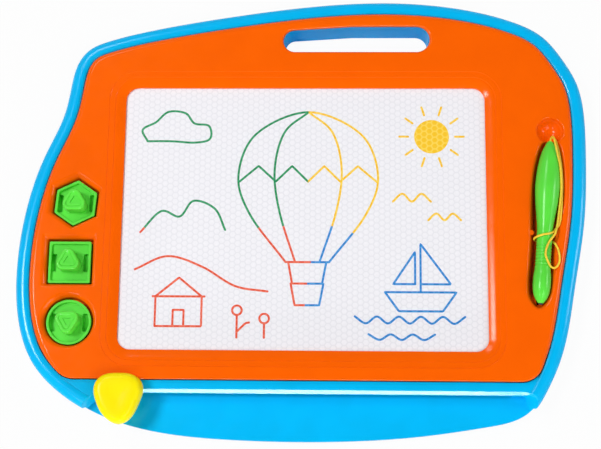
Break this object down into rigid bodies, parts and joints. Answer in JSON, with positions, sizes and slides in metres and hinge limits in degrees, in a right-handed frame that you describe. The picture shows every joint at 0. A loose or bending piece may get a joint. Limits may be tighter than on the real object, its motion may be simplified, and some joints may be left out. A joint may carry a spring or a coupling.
{
  "type": "magnetic drawing board",
  "caption": "Magnetic drawing board toy with a carrying slot, a sliding eraser, lift-out stamps in wells and a pen on a cord in a trough.",
  "frame": {"origin": "middle of the board's outline on its underside", "axes": "+X to the right along the screen's long side, +Y towards the carrying slot, +Z out of the face"},
  "size_m": [0.4223, 0.3332, 0.0366],
  "materials": {
    "shell_blue": "gloss",
    "bezel_orange": "gloss",
    "screen_white": "satin",
    "core_grey": "matte",
    "slider_yellow": "gloss",
    "magnet_grey": "matte",
    "toy_green": "gloss",
    "nib_metal": "satin",
    "cord_yellow": "matte",
    "screw_steel": "satin"
  },
  "bodies": {
    "board": {"rear_shell": "shell_blue", "front_bezel": "bezel_orange", "screen_front_sheet": "screen_white", "screen_honeycomb": "core_grey", "screen_back_sheet": "screen_white", "cord_knot": "cord_yellow", "case_screw_1": "screw_steel", "case_screw_2": "screw_steel", "case_screw_3": "screw_steel", "case_screw_4": "screw_steel", "case_screw_5": "screw_steel", "case_screw_6": "screw_steel", "case_screw_7": "screw_steel", "case_screw_8": "screw_steel"},
    "eraser": {"eraser_carriage": "slider_yellow", "eraser_magnet": "magnet_grey", "eraser_knob": "slider_yellow"},
    "hexagon_stamp": {"stamp_hexagon": "toy_green", "stamp_hexagon_magnet": "magnet_grey"},
    "square_stamp": {"stamp_square": "toy_green", "stamp_square_magnet": "magnet_grey"},
    "round_stamp": {"stamp_round": "toy_green", "stamp_round_magnet": "magnet_grey"},
    "pen": {"pen_barrel": "toy_green", "pen_nib": "nib_metal", "pen_cord": "cord_yellow"}
  },
  "joints": [
    {"name": "eraser_slide", "type": "slide", "parent": "board", "child": "eraser", "axis": [1, 0, 0], "range_m": [0, 0.27]},
    {"name": "hexagon_stamp_lift", "type": "slide", "parent": "board", "child": "hexagon_stamp", "axis": [0, 0, 1], "range_m": [0, 0.04]},
    {"name": "square_stamp_lift", "type": "slide", "parent": "board", "child": "square_stamp", "axis": [0, 0, 1], "range_m": [0, 0.04]},
    {"name": "round_stamp_lift", "type": "slide", "parent": "board", "child": "round_stamp", "axis": [0, 0, 1], "range_m": [0, 0.04]},
    {"name": "pen_lift", "type": "slide", "parent": "board", "child": "pen", "axis": [0, 0, 1], "range_m": [0, 0.04]}
  ]
}
